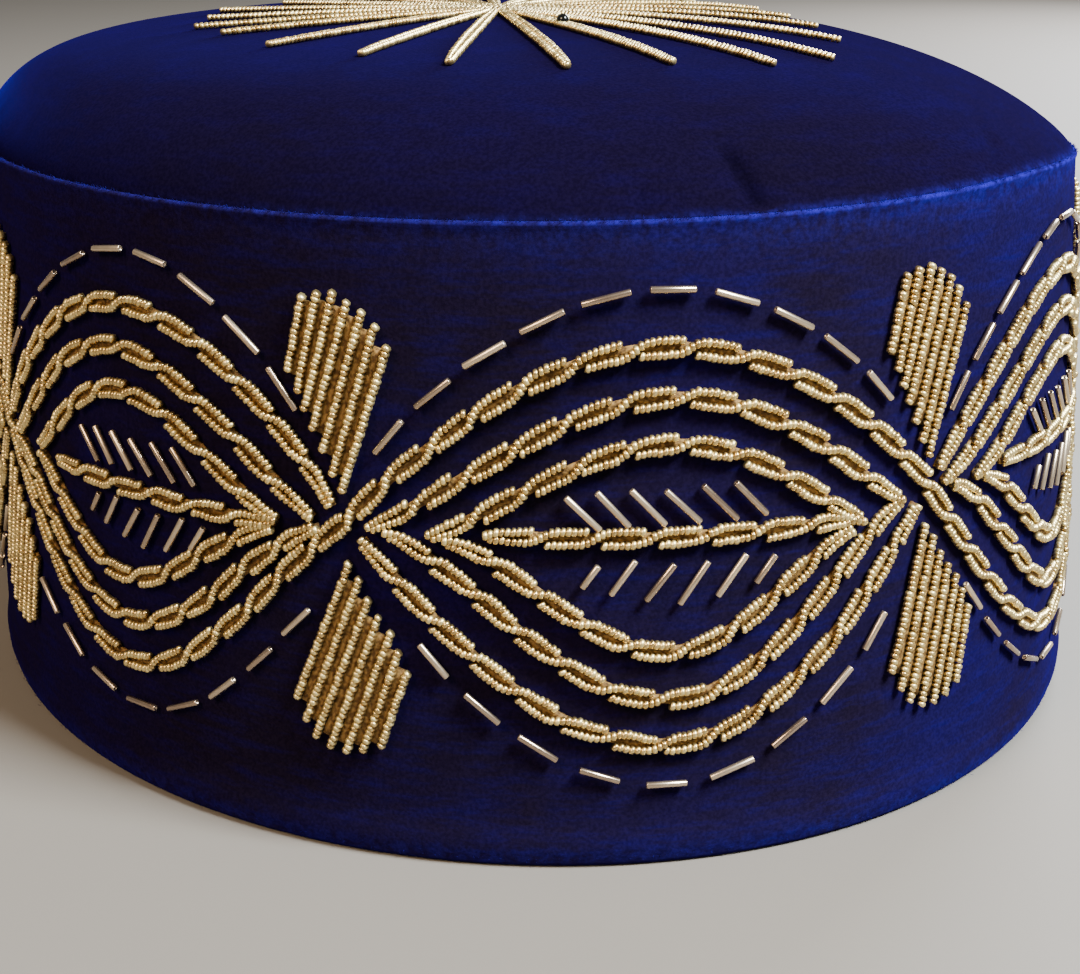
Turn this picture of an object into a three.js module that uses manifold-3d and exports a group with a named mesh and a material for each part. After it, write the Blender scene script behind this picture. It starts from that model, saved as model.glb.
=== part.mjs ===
// A round velvet cap that stands on its rim. A stiff side band carries a padded crown set inside its top
// edge, and both are trimmed with gold beadwork. Millimetres, +Z up, origin at the middle of the foot,
// front towards -Y. Azimuths are in degrees from the front, growing towards +X.
import * as THREE from "three";
import { mergeVertices } from "three/addons/utils/BufferGeometryUtils.js";
import Module from "manifold-3d";

const wasm = await Module();
wasm.setup();

// Radii are means of the oval plan. Its long axis runs from front to back.
const oval = 0.041;
const band = { footRadius: 95, topRadius: 90, height: 87.2, wall: 3, hemRound: 1.2, segments: 64 };
const crown = { rimRadius: 86.7, rimHeight: 85.8, rise: 16.6, wall: 3, tuck: 8, segments: 64 };

// The crown's profile is rise * (1 - share ^ power) ^ edge. One flank is puffed, the one opposite slopes.
const flanks = {
  puffed: { azimuth: -130, power: 7, edge: 0.7 },
  sloping: { power: 2.3, edge: 0.5 },
};

// Shallow folds that run up the crown's shoulder from its rim: from is the share of the rim's radius
// where a fold starts, spread its half width in degrees.
const folds = [
  { azimuth: -20, from: 0.86, spread: 5, depth: 0.9 },
  { azimuth: 15, from: 0.9, spread: 5, depth: 0.6 },
];

// Rings of the crown's shell, from the middle of its inside round the rim to the middle of its outside.
const crownRings = [
  { share: 0, depth: crown.wall, tuck: 0 },
  { share: 0.36, depth: crown.wall, tuck: 0 },
  { share: 0.66, depth: crown.wall, tuck: 0 },
  { share: 0.86, depth: crown.wall, tuck: 0 },
  { share: 0.96, depth: crown.wall, tuck: 0 },
  { share: 1, depth: crown.wall, tuck: 0 },
  { share: 1, depth: crown.wall, tuck: crown.tuck },
  { share: 1, depth: 0, tuck: crown.tuck },
  { share: 1, depth: 0, tuck: 0 },
  { share: 0.988, depth: 0, tuck: 0 },
  { share: 0.955, depth: 0, tuck: 0 },
  { share: 0.9, depth: 0, tuck: 0 },
  { share: 0.82, depth: 0, tuck: 0 },
  { share: 0.72, depth: 0, tuck: 0 },
  { share: 0.58, depth: 0, tuck: 0 },
  { share: 0.4, depth: 0, tuck: 0 },
  { share: 0.2, depth: 0, tuck: 0 },
  { share: 0, depth: 0, tuck: 0 },
];

// The beadwork lies on the cloth with this gap, and its solids are as thick and wide as the beads sewn on.
// A piece that runs into a rope is joined a little inside the rope's own thickness.
const gap = 0.3;
const rope = { width: 2.6, strand: 1.1, thick: 1.1, step: 9.5 };
const joined = { sink: 0.15, thick: 0.8 };
const bugle = { radius: 0.55, length: 6.5, space: 1.5, thread: 0.2 };

// One eye of the pattern, drawn flat between two crossings: x runs round the cap, z up from the line
// between the crossings. An arch leaves that line by rise * sin(pi * leant t) ^ power.
const eyeWidth = 80.2;
const arches = {
  outerTop: { from: [0, 0], to: [80.2, 0], rise: 23.5, power: 0.89, lean: -0.03 },
  middleTop: { from: [3.3, 0.3], to: [76.9, 0.3], rise: 16.9, power: 1.1, lean: -0.12 },
  innerTop: { from: [11.4, -0.8], to: [68.5, -1.8], rise: 12.6, power: 1.2, lean: -0.13 },
  innerLow: { from: [11.4, -0.8], to: [68.5, -1.8], rise: -15.3, power: 1.56, lean: -0.11 },
  middleLow: { from: [3.3, -0.3], to: [76.9, -0.3], rise: -23.2, power: 1.45, lean: -0.1 },
  outerLow: { from: [0, 0], to: [80.2, 0], rise: -29.9, power: 0.97, lean: -0.09 },
  dashTop: { from: [4.6, 9.6], to: [72.8, 13], rise: 19.3, power: 0.8, lean: -0.03 },
  dashLow: { from: [9.8, -15.4], to: [72.7, -16.1], rise: -19.9, power: 0.81, lean: -0.05 },
};

// The leaf in the eye: a beaded rib, and bugles that slant away from it. foot is a bugle's place along
// the rib, head its far end.
const leaf = {
  rib: { from: [17.9, -0.5], to: [63.4, -1.5] },
  bugles: [
    { foot: 34, head: [28.6, 4.8] },
    { foot: 37.9, head: [32.5, 5.4] },
    { foot: 42.7, head: [36.8, 5.5] },
    { foot: 47.4, head: [41.2, 5.2] },
    { foot: 52.2, head: [46, 5.5] },
    { foot: 56.7, head: [50.3, 5.5] },
    { foot: 35.2, head: [30.6, -7.3] },
    { foot: 39.5, head: [34.2, -8.4] },
    { foot: 45.3, head: [38.7, -9.4] },
    { foot: 49.3, head: [43, -10.2] },
    { foot: 54.3, head: [48, -9.6] },
    { foot: 58.7, head: [53.2, -8.4] },
  ],
};

// The eyes in turn round the cap. girth is the place of an eye's first crossing along the wall from the
// front, height that crossing's height, top and low stretch its two halves, wave is the half whose outer
// rope is the one that runs on over the crossings. sway is how far the tip of the crossing's lower petal
// hangs to one side.
const eyes = [
  { girth: -157, height: 47.5, top: 1.06, low: 0.93, wave: "outerLow", rest: "outerTop", sway: 0 },
  { girth: -84.6, height: 47.9, top: 1, low: 1, wave: "outerTop", rest: "outerLow", sway: -1.4 },
  { girth: -4.4, height: 48.4, top: 1, low: 1.05, wave: "outerLow", rest: "outerTop", sway: 1.4 },
  { girth: 67, height: 48, top: 1.03, low: 0.97, wave: "outerTop", rest: "outerLow", sway: 0.3 },
  { girth: 137.8, height: 47.6, top: 1.03, low: 0.93, wave: "outerLow", rest: "outerTop", sway: -0.5 },
  { girth: 210.2, height: 48.3, top: 1, low: 0.99, wave: "outerTop", rest: "outerLow", sway: 0.6 },
  { girth: 282.6, height: 48, top: 1.02, low: 0.93, wave: "outerLow", rest: "outerTop", sway: -0.2 },
  { girth: 354, height: 47.7, top: 1.02, low: 1, wave: "outerTop", rest: "outerLow", sway: 0.4 },
];

// Rows of seed beads in the two petals of a crossing, as [x, z] of a row's two ends from the crossing.
const petals = {
  petal_top: [
    { low: [-7.5, 19.4], high: [-4.9, 29.4] },
    { low: [-6.2, 16.8], high: [-2.8, 30] },
    { low: [-5.2, 14.5], high: [-0.6, 30.1] },
    { low: [-4.2, 12], high: [1.3, 29.2] },
    { low: [-2.9, 9.2], high: [3.2, 28] },
    { low: [-1.6, 6.3], high: [4.9, 26.4] },
    { low: [-0.4, 4.2], high: [6.5, 23.8] },
  ],
  petal_low: [
    { low: [-7, -25.8], high: [0, -5.2] },
    { low: [-5.5, -28.9], high: [1.5, -7.2] },
    { low: [-4, -31.1], high: [2.9, -9.8] },
    { low: [-1.8, -32.3], high: [4.3, -12.2] },
    { low: [0.5, -32.6], high: [6, -14.2] },
    { low: [2.8, -32.2], high: [7.2, -16.8] },
    { low: [5.3, -31], high: [8.5, -19.6] },
  ],
};

// The height at which a lower petal is held, from the crossing, and the drop from there to its tip.
const petalHold = -12;
const petalDrop = 20;

// The star on the crown: a boss and rays round a middle a little behind the cap's own. widths are a
// ray's own at equal steps from the boss to its tip.
const star = { middle: [0.2, 4.8], boss: 6, thick: 1.1, widths: [0.9, 1.8, 2.7, 2.7, 2.3, 1.1] };
const rays = [
  { azimuth: -114, reach: 50 },
  { azimuth: -100, reach: 47.9 },
  { azimuth: -78, reach: 50.8 },
  { azimuth: -57.5, reach: 53.7 },
  { azimuth: -43, reach: 59.1 },
  { azimuth: -28, reach: 62.4 },
  { azimuth: -14, reach: 62.1 },
  { azimuth: -1, reach: 66 },
  { azimuth: 11, reach: 65.6 },
  { azimuth: 29, reach: 58.3 },
  { azimuth: 47, reach: 53 },
  { azimuth: 63, reach: 51 },
  { azimuth: 80, reach: 52.5 },
  { azimuth: 96.5, reach: 50 },
  { azimuth: 113, reach: 53.5 },
  { azimuth: 129, reach: 51.5 },
  { azimuth: 146, reach: 54 },
  { azimuth: 162, reach: 50.5 },
  { azimuth: 179, reach: 52 },
  { azimuth: 196, reach: 49.5 },
  { azimuth: 213, reach: 52.5 },
  { azimuth: 230, reach: 49 },
];

const velvet = { color: 0x14148c, roughness: 0.9, metalness: 0 };
const beads = { color: 0xb8924a, roughness: 0.35, metalness: 0.8 };
const bugles = { color: 0xc9a37a, roughness: 0.3, metalness: 0.5 };

const lerp = THREE.MathUtils.lerp;
const radians = THREE.MathUtils.degToRad;

// Mean radius of the band's outside at a height.
function wallRadius(height) {
  return lerp(band.footRadius, band.topRadius, height / band.height);
}

// Girths reached at equal steps of azimuth, walked round the oval at half the band's height.
const girthSteps = 720;
const middleRadius = wallRadius(band.height / 2);
const girths = [0];
for (let i = 1; i <= girthSteps; i += 1) {
  const angle = (2 * Math.PI * (i - 0.5)) / girthSteps;
  const along = Math.hypot((1 - oval) * Math.cos(angle), (1 + oval) * Math.sin(angle));
  girths.push(girths[i - 1] + (middleRadius * along * 2 * Math.PI) / girthSteps);
}
const wholeGirth = girths[girthSteps];

// The azimuth, in radians, at a place along the wall.
function azimuthAt(girth) {
  const turns = Math.floor(girth / wholeGirth);
  const rest = girth - turns * wholeGirth;
  let i = 1;
  while (girths[i] < rest) {
    i += 1;
  }
  const share = (rest - girths[i - 1]) / (girths[i] - girths[i - 1]);
  return 2 * Math.PI * (turns + (i - 1 + share) / girthSteps);
}

// A point of the flat chart, laid on the band and lifted off its cloth.
function onBand(girth, height, lift) {
  const azimuth = azimuthAt(girth);
  const radius = wallRadius(height);
  const normal = new THREE.Vector3(
    Math.sin(azimuth) / (1 - oval),
    -Math.cos(azimuth) / (1 + oval),
    (band.footRadius - band.topRadius) / band.height,
  ).normalize();
  return new THREE.Vector3(
    radius * (1 - oval) * Math.sin(azimuth),
    -radius * (1 + oval) * Math.cos(azimuth),
    height,
  ).addScaledVector(normal, lift);
}

// How far a fold sinks the crown's outside at a share of its radius and an azimuth in degrees.
function foldDepth(share, azimuth) {
  let depth = 0;
  for (const fold of folds) {
    const across = THREE.MathUtils.euclideanModulo(azimuth - fold.azimuth + 180, 360) - 180;
    const along = THREE.MathUtils.smoothstep(share, fold.from, (1 + fold.from) / 2);
    depth += fold.depth * along * Math.exp(-((across / (fold.spread / 2)) ** 2));
  }
  return depth;
}

// Height of the crown's outside over its rim.
function crownRise(share, azimuth) {
  const puff = 0.5 + 0.5 * Math.cos(radians(azimuth - flanks.puffed.azimuth));
  const power = lerp(flanks.sloping.power, flanks.puffed.power, puff);
  const edge = lerp(flanks.sloping.edge, flanks.puffed.edge, puff);
  return crown.rise * (1 - share ** power) ** edge - foldDepth(share, azimuth) * (1 - share ** 12);
}

// Radius and height of the crown's shell, square to its outside by a depth.
function crownPoint(share, azimuth, depth) {
  const step = 0.004;
  const inner = Math.max(share - step, 0);
  const outer = Math.min(share + step, 1);
  const run = crown.rimRadius * (outer - inner);
  const fall = crownRise(inner, azimuth) - crownRise(outer, azimuth);
  const slope = share === 1 ? Math.PI / 2 : Math.atan2(fall, run) * Math.min(share / step, 1);
  return {
    radius: crown.rimRadius * share - depth * Math.sin(slope),
    height: crown.rimHeight + crownRise(share, azimuth) - depth * Math.cos(slope),
  };
}

// A point in plan, laid on the crown and lifted off its cloth.
function onCrown(x, y, lift) {
  const flatX = x / (1 - oval);
  const flatY = y / (1 + oval);
  const share = Math.hypot(flatX, flatY) / crown.rimRadius;
  const azimuth = THREE.MathUtils.radToDeg(Math.atan2(flatX, -flatY));
  return new THREE.Vector3(x, y, crownPoint(share, azimuth, 0).height + lift);
}

// Moves each vertex of a geometry to the place that a function gives for it.
function bend(geometry, place) {
  const position = geometry.getAttribute("position");
  for (let i = 0; i < position.count; i += 1) {
    const moved = place(position.getX(i), position.getY(i), position.getZ(i), i);
    position.setXYZ(i, moved.x, moved.y, moved.z);
  }
  return geometry;
}

function toSolid(geometry) {
  const bare = geometry.clone();
  bare.deleteAttribute("normal");
  bare.deleteAttribute("uv");
  const merged = mergeVertices(bare, 1e-3);
  return new wasm.Manifold(
    new wasm.Mesh({
      numProp: 3,
      vertProperties: merged.getAttribute("position").array,
      triVerts: new Uint32Array(merged.index.array),
    }),
  );
}

// Joins overlapping geometries into one closed body.
function weld(geometries) {
  const joined = geometries.map(toSolid).reduce((whole, piece) => whole.add(piece));
  const mesh = joined.getMesh();
  const geometry = new THREE.BufferGeometry();
  geometry.setAttribute("position", new THREE.BufferAttribute(mesh.vertProperties, 3));
  geometry.setIndex(new THREE.BufferAttribute(mesh.triVerts, 1));
  return geometry;
}

// The band: outside up from the turned hem, over the rolled top edge, and down the inside.
function makeBand() {
  const rollRadius = band.wall / 2;
  const rollHeight = band.height - rollRadius;
  const rollMiddle = wallRadius(rollHeight) - rollRadius;
  const profile = [
    new THREE.Vector2(band.footRadius - band.wall, 0),
    new THREE.Vector2(band.footRadius - band.hemRound, 0),
    new THREE.Vector2(band.footRadius - band.hemRound * 0.3, band.hemRound * 0.3),
    new THREE.Vector2(wallRadius(band.hemRound), band.hemRound),
    new THREE.Vector2(wallRadius(band.height / 3), band.height / 3),
    new THREE.Vector2(wallRadius((band.height * 2) / 3), (band.height * 2) / 3),
  ];
  for (let i = 0; i <= 6; i += 1) {
    const angle = (Math.PI * i) / 6;
    const radius = rollMiddle + rollRadius * Math.cos(angle);
    profile.push(new THREE.Vector2(radius, rollHeight + rollRadius * Math.sin(angle)));
  }
  profile.push(profile[0].clone());
  return new THREE.LatheGeometry(profile, band.segments).rotateX(Math.PI / 2).scale(1 - oval, 1 + oval, 1);
}

// The crown: a lathe whose rings are moved onto the domed shell, with its edge tucked down in the band.
function makeCrown() {
  const profile = crownRings.map((ring, i) => new THREE.Vector2(ring.share, i));
  const geometry = new THREE.LatheGeometry(profile, crown.segments);
  bend(geometry, (x, y, z, i) => {
    const ring = crownRings[i % crownRings.length];
    const column = Math.floor(i / crownRings.length) % crown.segments;
    const azimuth = (360 * column) / crown.segments;
    const point = crownPoint(ring.share, azimuth, ring.depth);
    return new THREE.Vector3(
      point.radius * (1 - oval) * Math.sin(radians(azimuth)),
      -point.radius * (1 + oval) * Math.cos(radians(azimuth)),
      point.height - ring.tuck,
    );
  });
  return geometry;
}

// Each eye's width and the height of its far crossing come from the eye after it.
eyes.forEach((eye, i) => {
  const next = eyes[(i + 1) % eyes.length];
  eye.width = THREE.MathUtils.euclideanModulo(next.girth - eye.girth, wholeGirth);
  eye.farHeight = next.height;
});

// A point of an eye's drawing on the chart of the whole wall.
function onEye(eye, x, z) {
  const share = x / eyeWidth;
  const half = z > 0 ? eye.top : eye.low;
  return new THREE.Vector2(eye.girth + share * eye.width, lerp(eye.height, eye.farHeight, share) + z * half);
}

function archCurve(eye, arch) {
  const points = [];
  const count = 20;
  for (let i = 0; i <= count; i += 1) {
    const t = i / count;
    const leant = t + arch.lean * t * (1 - t);
    const x = lerp(arch.from[0], arch.to[0], t);
    const z = lerp(arch.from[1], arch.to[1], t) + arch.rise * Math.max(Math.sin(Math.PI * leant), 0) ** arch.power;
    points.push(onEye(eye, x, z));
  }
  return new THREE.SplineCurve(points);
}

// A rope along a part of a curve of the chart, narrowed to one strand at its ends and laid on the band.
function strip(curve, start = 0, end = 1) {
  const count = Math.max(Math.round((curve.getLength() * (end - start)) / rope.step), 3);
  return bend(new THREE.BoxGeometry(1, 1, 1, count, 1, 1), (x, y, z) => {
    const width = Math.abs(x) > 0.499 ? rope.strand : rope.width;
    const share = lerp(start, end, x + 0.5);
    const along = curve.getTangentAt(share);
    const point = curve.getPointAt(share);
    return onBand(point.x - along.y * width * y, point.y + along.x * width * y, gap + rope.thick * (z + 0.5));
  });
}

// A rope along a closed row of points of the chart: a ring of square section, laid on the band.
function loop(points) {
  const corners = [
    [-0.5, 1],
    [0.5, 1],
    [0.5, 0],
    [-0.5, 0],
  ];
  const count = points.length;
  return bend(new THREE.TorusGeometry(2, 1, corners.length, count), (x, y, z, i) => {
    const station = (i % (count + 1)) % count;
    const [across, up] = corners[Math.floor(i / (count + 1)) % corners.length];
    const before = points[(station + count - 1) % count];
    const after = points[(station + 1) % count];
    const along = new THREE.Vector2(
      THREE.MathUtils.euclideanModulo(after.x - before.x + wholeGirth / 2, wholeGirth) - wholeGirth / 2,
      after.y - before.y,
    ).normalize();
    const point = points[station];
    const side = rope.width * across;
    return onBand(point.x - along.y * side, point.y + along.x * side, gap + rope.thick * up);
  });
}

// A flat outline of the chart, made as thick as a bead and laid on the band. A piece that runs into
// a rope is a little thinner than the rope on both sides.
function laidShape(outline, { sink, thick } = { sink: 0, thick: rope.thick }) {
  const flat = new THREE.ExtrudeGeometry(new THREE.Shape(outline), { depth: thick, bevelEnabled: false });
  return bend(flat, (x, y, z) => onBand(x, y, gap + sink + z));
}

// The rope that runs on round the whole band, over each crossing.
function makeWave() {
  return loop(eyes.flatMap((eye) => archCurve(eye, arches[eye.wave]).getSpacedPoints(12).slice(0, 12)));
}

// The ropes between the wave and the inner ring. They draw together in a knot at both ends.
function makeRopes(eye) {
  const side = eye.rest === "outerTop" ? 1 : -1;
  const outer = strip(archCurve(eye, arches[eye.rest]), 0.03, 0.97);
  const middles = ["middleTop", "middleLow"].map((name) => strip(archCurve(eye, arches[name])));
  const knots = [5.4, 75.3].map((x) => {
    const middle = onEye(eye, x, 1.6 * side);
    const outline = new THREE.EllipseCurve(middle.x, middle.y, 3, 2.3).getPoints(6).slice(0, 6);
    return laidShape(outline, joined);
  });
  return weld([outer, ...middles, ...knots]);
}

// The ring of rope round the leaf: along the upper arch and back along the lower one, which shares its ends.
function makeInner(eye) {
  const top = archCurve(eye, arches.innerTop).getSpacedPoints(9);
  const low = archCurve(eye, arches.innerLow).getSpacedPoints(9);
  return loop([...top, ...low.slice(1, -1).reverse()]);
}

// The leaf: its rib, and each bugle as a short bar whose thread end runs into the rib.
function makeLeaf(eye) {
  const from = onEye(eye, ...leaf.rib.from);
  const to = onEye(eye, ...leaf.rib.to);
  const bars = leaf.bugles.map((row) => {
    const share = (row.foot - leaf.rib.from[0]) / (leaf.rib.to[0] - leaf.rib.from[0]);
    const foot = from.clone().lerp(to, share);
    const head = onEye(eye, ...row.head);
    const along = head.clone().sub(foot).normalize();
    const across = new THREE.Vector2(-along.y, along.x).multiplyScalar(bugle.radius);
    const outline = [
      foot.clone().sub(across),
      head.clone().sub(across),
      head.clone().add(across),
      foot.clone().add(across),
    ];
    return laidShape(outline, joined);
  });
  return weld([strip(new THREE.LineCurve(from, to)), ...bars]);
}

// Bugles strung on a thread along a curve of the chart: a straight lathe whose length is laid along it.
function makeDashes(eye, arch) {
  const curve = archCurve(eye, arch);
  const length = curve.getLength();
  const count = Math.round((length + bugle.space) / (bugle.length + bugle.space));
  const pitch = (length + bugle.space) / count;
  const profile = [new THREE.Vector2(0, 0)];
  for (let i = 0; i < count; i += 1) {
    const start = pitch * i;
    profile.push(new THREE.Vector2(bugle.radius, start));
    profile.push(new THREE.Vector2(bugle.radius, start + pitch - bugle.space));
    if (i < count - 1) {
      profile.push(new THREE.Vector2(bugle.thread, start + pitch - bugle.space / 2));
    }
  }
  profile.push(new THREE.Vector2(0, length));
  return bend(new THREE.LatheGeometry(profile, 4), (across, run, up) => {
    const share = THREE.MathUtils.clamp(run / length, 0, 1);
    const along = curve.getTangentAt(share);
    const point = curve.getPointAt(share);
    return onBand(point.x + along.y * across, point.y - along.x * across, gap + bugle.radius + up);
  });
}

// A petal: one flat leaf round the ends of its rows of seed beads. A lower petal is turned by its sway
// about the place where it is held.
function makePetal(eye, rows) {
  const crossing = new THREE.Vector2(eye.girth, eye.height);
  const sway = (z) => (z < 0 ? (eye.sway * (petalHold - z)) / petalDrop : 0);
  const end = (point, x) => new THREE.Vector2(point[0] + x + sway(point[1]), point[1]).add(crossing);
  const first = rows[0];
  const last = rows[rows.length - 1];
  const half = rope.strand / 2;
  return laidShape([
    end(last.high, half),
    ...rows.toReversed().map((row) => end(row.high, 0)),
    end(first.high, -half),
    end(first.low, -half),
    ...rows.map((row) => end(row.low, 0)),
    end(last.low, half),
  ]);
}

// The star: a boss, and rays that swell and taper again, laid on the crown.
function makeStar() {
  const [middleX, middleY] = star.middle;
  const steps = star.widths.length - 1;
  const bars = rays.map((ray) => {
    const angle = radians(ray.azimuth);
    return bend(new THREE.BoxGeometry(1, 1, 1, steps, 1, 1), (x, y, z) => {
      const side = y * star.widths[Math.round((x + 0.5) * steps)];
      const run = lerp(star.boss - 1, ray.reach, x + 0.5);
      return onCrown(
        middleX + run * Math.sin(angle) + side * Math.cos(angle),
        middleY - run * Math.cos(angle) + side * Math.sin(angle),
        gap + star.thick * (z + 0.5),
      );
    });
  });
  const boss = new THREE.CylinderGeometry(star.boss, star.boss, joined.thick, 24).rotateX(Math.PI / 2);
  bend(boss, (x, y, z) => onCrown(middleX + x, middleY + y, gap + joined.sink + joined.thick / 2 + z));
  return weld([boss, ...bars]);
}

const cap = new THREE.Group();

function add(name, geometry, finish) {
  const mesh = new THREE.Mesh(geometry, new THREE.MeshStandardMaterial(finish));
  mesh.name = name;
  cap.add(mesh);
}

add("band", makeBand(), velvet);
add("crown", makeCrown(), velvet);
add("star", makeStar(), beads);
add("wave", makeWave(), beads);
eyes.forEach((eye, i) => {
  const number = i + 1;
  add(`ropes_${number}`, makeRopes(eye), beads);
  add(`inner_${number}`, makeInner(eye), beads);
  add(`leaf_${number}`, makeLeaf(eye), beads);
  add(`dash_top_${number}`, makeDashes(eye, arches.dashTop), bugles);
  add(`dash_low_${number}`, makeDashes(eye, arches.dashLow), bugles);
  for (const [name, rows] of Object.entries(petals)) {
    add(`${name}_${number}`, makePetal(eye, rows), beads);
  }
});

export default cap;
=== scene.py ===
import math

import bpy
import numpy as np
from mathutils import Matrix, Vector


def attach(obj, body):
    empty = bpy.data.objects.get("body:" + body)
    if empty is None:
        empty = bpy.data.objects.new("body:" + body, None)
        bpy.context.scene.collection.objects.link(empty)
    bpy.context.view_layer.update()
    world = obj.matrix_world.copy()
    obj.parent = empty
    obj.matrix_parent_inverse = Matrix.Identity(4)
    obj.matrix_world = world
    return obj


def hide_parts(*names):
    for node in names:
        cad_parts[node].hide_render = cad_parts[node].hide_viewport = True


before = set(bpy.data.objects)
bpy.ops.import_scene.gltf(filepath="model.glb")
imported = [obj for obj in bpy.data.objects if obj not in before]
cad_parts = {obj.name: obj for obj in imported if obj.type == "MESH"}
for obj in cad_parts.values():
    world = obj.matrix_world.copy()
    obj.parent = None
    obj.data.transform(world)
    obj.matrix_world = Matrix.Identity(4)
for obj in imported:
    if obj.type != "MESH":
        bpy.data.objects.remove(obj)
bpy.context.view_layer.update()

rng = np.random.default_rng(23)

# Shapes are worked out in millimetres, in the frame of the solids, and scaled to metres in the mesh.
# Azimuths run from the front, -Y, towards +X. Radii are means of an oval plan, longer from front to back.
cap = {"oval": 0.041, "footRadius": 95.0, "topRadius": 90.0, "height": 87.2, "wall": 3.0}


# Camera: its place in degrees and millimetres round the cap, its lens, and how it is turned from there

camera = {"azimuth": -37.0, "distance": 291.0, "height": 129.9, "lens": 56.45, "down": 20.95, "turn": -0.69,
          "roll": -0.58}


def addCamera():
    data = bpy.data.cameras.new("camera")
    data.lens = camera["lens"]
    data.sensor_width = 36
    data.clip_start = 0.01
    piece = bpy.data.objects.new("camera", data)
    bpy.context.scene.collection.objects.link(piece)
    side, distance = math.radians(camera["azimuth"]), camera["distance"]
    place = Vector((math.sin(side) * distance, -math.cos(side) * distance, camera["height"]))
    piece.matrix_world = (Matrix.Translation(place * 0.001)
                          @ Matrix.Rotation(math.radians(camera["azimuth"] + camera["turn"]), 4, "Z")
                          @ Matrix.Rotation(math.radians(90 - camera["down"]), 4, "X")
                          @ Matrix.Rotation(math.radians(camera["roll"]), 4, "Z"))
    bpy.context.scene.camera = piece


addCamera()


# Meshes from whole arrays. A shape is its points, its faces and a tone for each point.

def addPiece(name, shapes, material, replaced=()):
    points, faces, tone = joinShapes(shapes)
    mesh = bpy.data.meshes.new(name)
    mesh.from_pydata(points * 0.001, [], faces)
    mesh.polygons.foreach_set("use_smooth", np.ones(len(faces), bool))
    mesh.attributes.new("tone", "FLOAT", "POINT").data.foreach_set("value", tone.astype(np.float32))
    mesh.materials.append(material)
    mesh.update()
    piece = bpy.data.objects.new(name, mesh)
    bpy.context.scene.collection.objects.link(piece)
    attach(piece, "root")
    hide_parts(*replaced)
    return piece


def joinShapes(shapes):
    firsts = np.cumsum([0] + [len(points) for points, faces, tone in shapes])
    return (np.concatenate([points for points, faces, tone in shapes]),
            np.concatenate([faces + first for (points, faces, tone), first in zip(shapes, firsts)]),
            np.concatenate([tone for points, faces, tone in shapes]))


def gridFaces(rows, columns, closedRows=False):
    # two triangles for each cell of a grid whose columns close on themselves, and its rows where asked
    row = np.arange(rows if closedRows else rows - 1)[:, None]
    column = np.arange(columns)[None, :]
    nextRow, nextColumn = (row + 1) % rows, (column + 1) % columns
    corners = [row * columns + column, row * columns + nextColumn,
               nextRow * columns + nextColumn, nextRow * columns + column]
    a, b, c, d = [corner.ravel() for corner in corners]
    return np.concatenate([np.stack([a, b, c], 1), np.stack([a, c, d], 1)])


def fanFaces(columns, pole, first, flip=False):
    # triangles from the ring that starts at first to a pole
    column = np.arange(columns)
    fan = np.stack([first + column, first + (column + 1) % columns, np.full(columns, pole)], 1)
    return fan[:, ::-1] if flip else fan


def unit(vectors):
    return vectors / np.linalg.norm(vectors, axis=-1, keepdims=True)


def smoothStep(values, low, high):
    share = np.clip((values - low) / (high - low), 0, 1)
    return share * share * (3 - 2 * share)


def hump(values, width):
    # 1 at nothing, falling off on both sides: e ^ -(value / width) ^ 2
    return np.exp(-(values / width) ** 2)


# The band's chart: girth round the wall at half its height, from the front, and height up it

def wallRadius(height):
    # a straight taper from foot to top
    return cap["footRadius"] + (cap["topRadius"] - cap["footRadius"]) * height / cap["height"]


turns = np.linspace(0, 2 * math.pi, 721)
middleTurns = (turns[1:] + turns[:-1]) / 2
turnSteps = np.hypot((1 - cap["oval"]) * np.cos(middleTurns), (1 + cap["oval"]) * np.sin(middleTurns))
girths = np.append(0, np.cumsum(turnSteps)) * turns[1] * wallRadius(cap["height"] / 2)
wholeGirth = girths[-1]


def bandFrame(girth, height):
    # a point on the cloth, and unit vectors along the girth, up the wall and out of it
    azimuth = np.interp(np.mod(girth, wholeGirth), girths, turns)
    wide, long = 1 - cap["oval"], 1 + cap["oval"]
    radius = wallRadius(height)
    taper = (cap["footRadius"] - cap["topRadius"]) / cap["height"]
    point = np.stack([radius * wide * np.sin(azimuth), -radius * long * np.cos(azimuth), height], -1)
    out = unit(np.stack([np.sin(azimuth) / wide, -np.cos(azimuth) / long, np.full_like(azimuth, taper)], -1))
    along = unit(np.stack([wide * np.cos(azimuth), long * np.sin(azimuth), np.zeros_like(azimuth)], -1))
    return point, along, np.cross(out, along), out


# The crown's surface

crown = {
    "rimRadius": 89.6, "rimHeight": 87.25, "rise": 13.4, "dome": 2.1, "wall": 3.0, "tuck": 9.3, "narrow": 3.3,
    "puffedSide": -130.0, "puffedPower": 10.5, "puffedEdge": 0.82, "slopingPower": 3.2, "slopingEdge": 0.76,
    "columns": 420, "rows": 76, "gathers": 0.05,
}

# Folds in the crown's shoulder. Each is a groove from a share of the radius out to the rim, with its half
# width and its lean on the way in degrees.
folds = [
    {"azimuth": -20.7, "from": 0.87, "half": 1.1, "depth": 0.9, "lean": 1.1},
    {"azimuth": -29.5, "from": 0.95, "half": 0.7, "depth": 0.4, "lean": 0.5},
    {"azimuth": 15.5, "from": 0.88, "half": 0.7, "depth": 0.4, "lean": -8.0},
    {"azimuth": 96.0, "from": 0.91, "half": 1.0, "depth": 0.8, "lean": 2.0},
    {"azimuth": 201.0, "from": 0.92, "half": 0.9, "depth": 0.7, "lean": -2.0},
]


# The top edge has sunk a little on one side, and the crown with it
sunk = {"azimuth": 54.0, "reach": 47.0, "depth": 3.8, "from": 60.0}


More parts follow.
